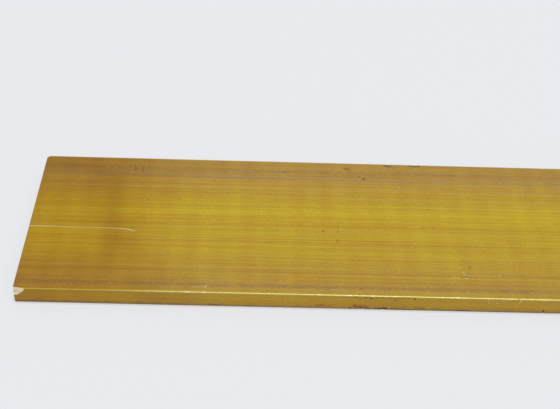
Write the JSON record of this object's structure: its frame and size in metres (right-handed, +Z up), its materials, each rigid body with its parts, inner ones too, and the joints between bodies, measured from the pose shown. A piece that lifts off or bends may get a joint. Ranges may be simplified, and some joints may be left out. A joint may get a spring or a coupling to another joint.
{
  "type": "flat bar",
  "caption": "Flat brass bar of rectangular section with slightly rounded long edges and square sawn ends, a cut length of stock for machining, framing or trim.",
  "frame": {"origin": "centre of the underside, midway along the length and across the width", "axes": "+X along the bar, from the bruised left end to the right end; +Y across the width, from the front edge to the back edge; +Z up through the thickness"},
  "size_m": [0.3048, 0.0636, 0.0063],
  "materials": {
    "brass": "drawn brass as supplied, dulled by a light tarnish, with fine lines along its length"
  },
  "bodies": {
    "root": {"flat_bar": "brass"}
  },
  "joints": []
}
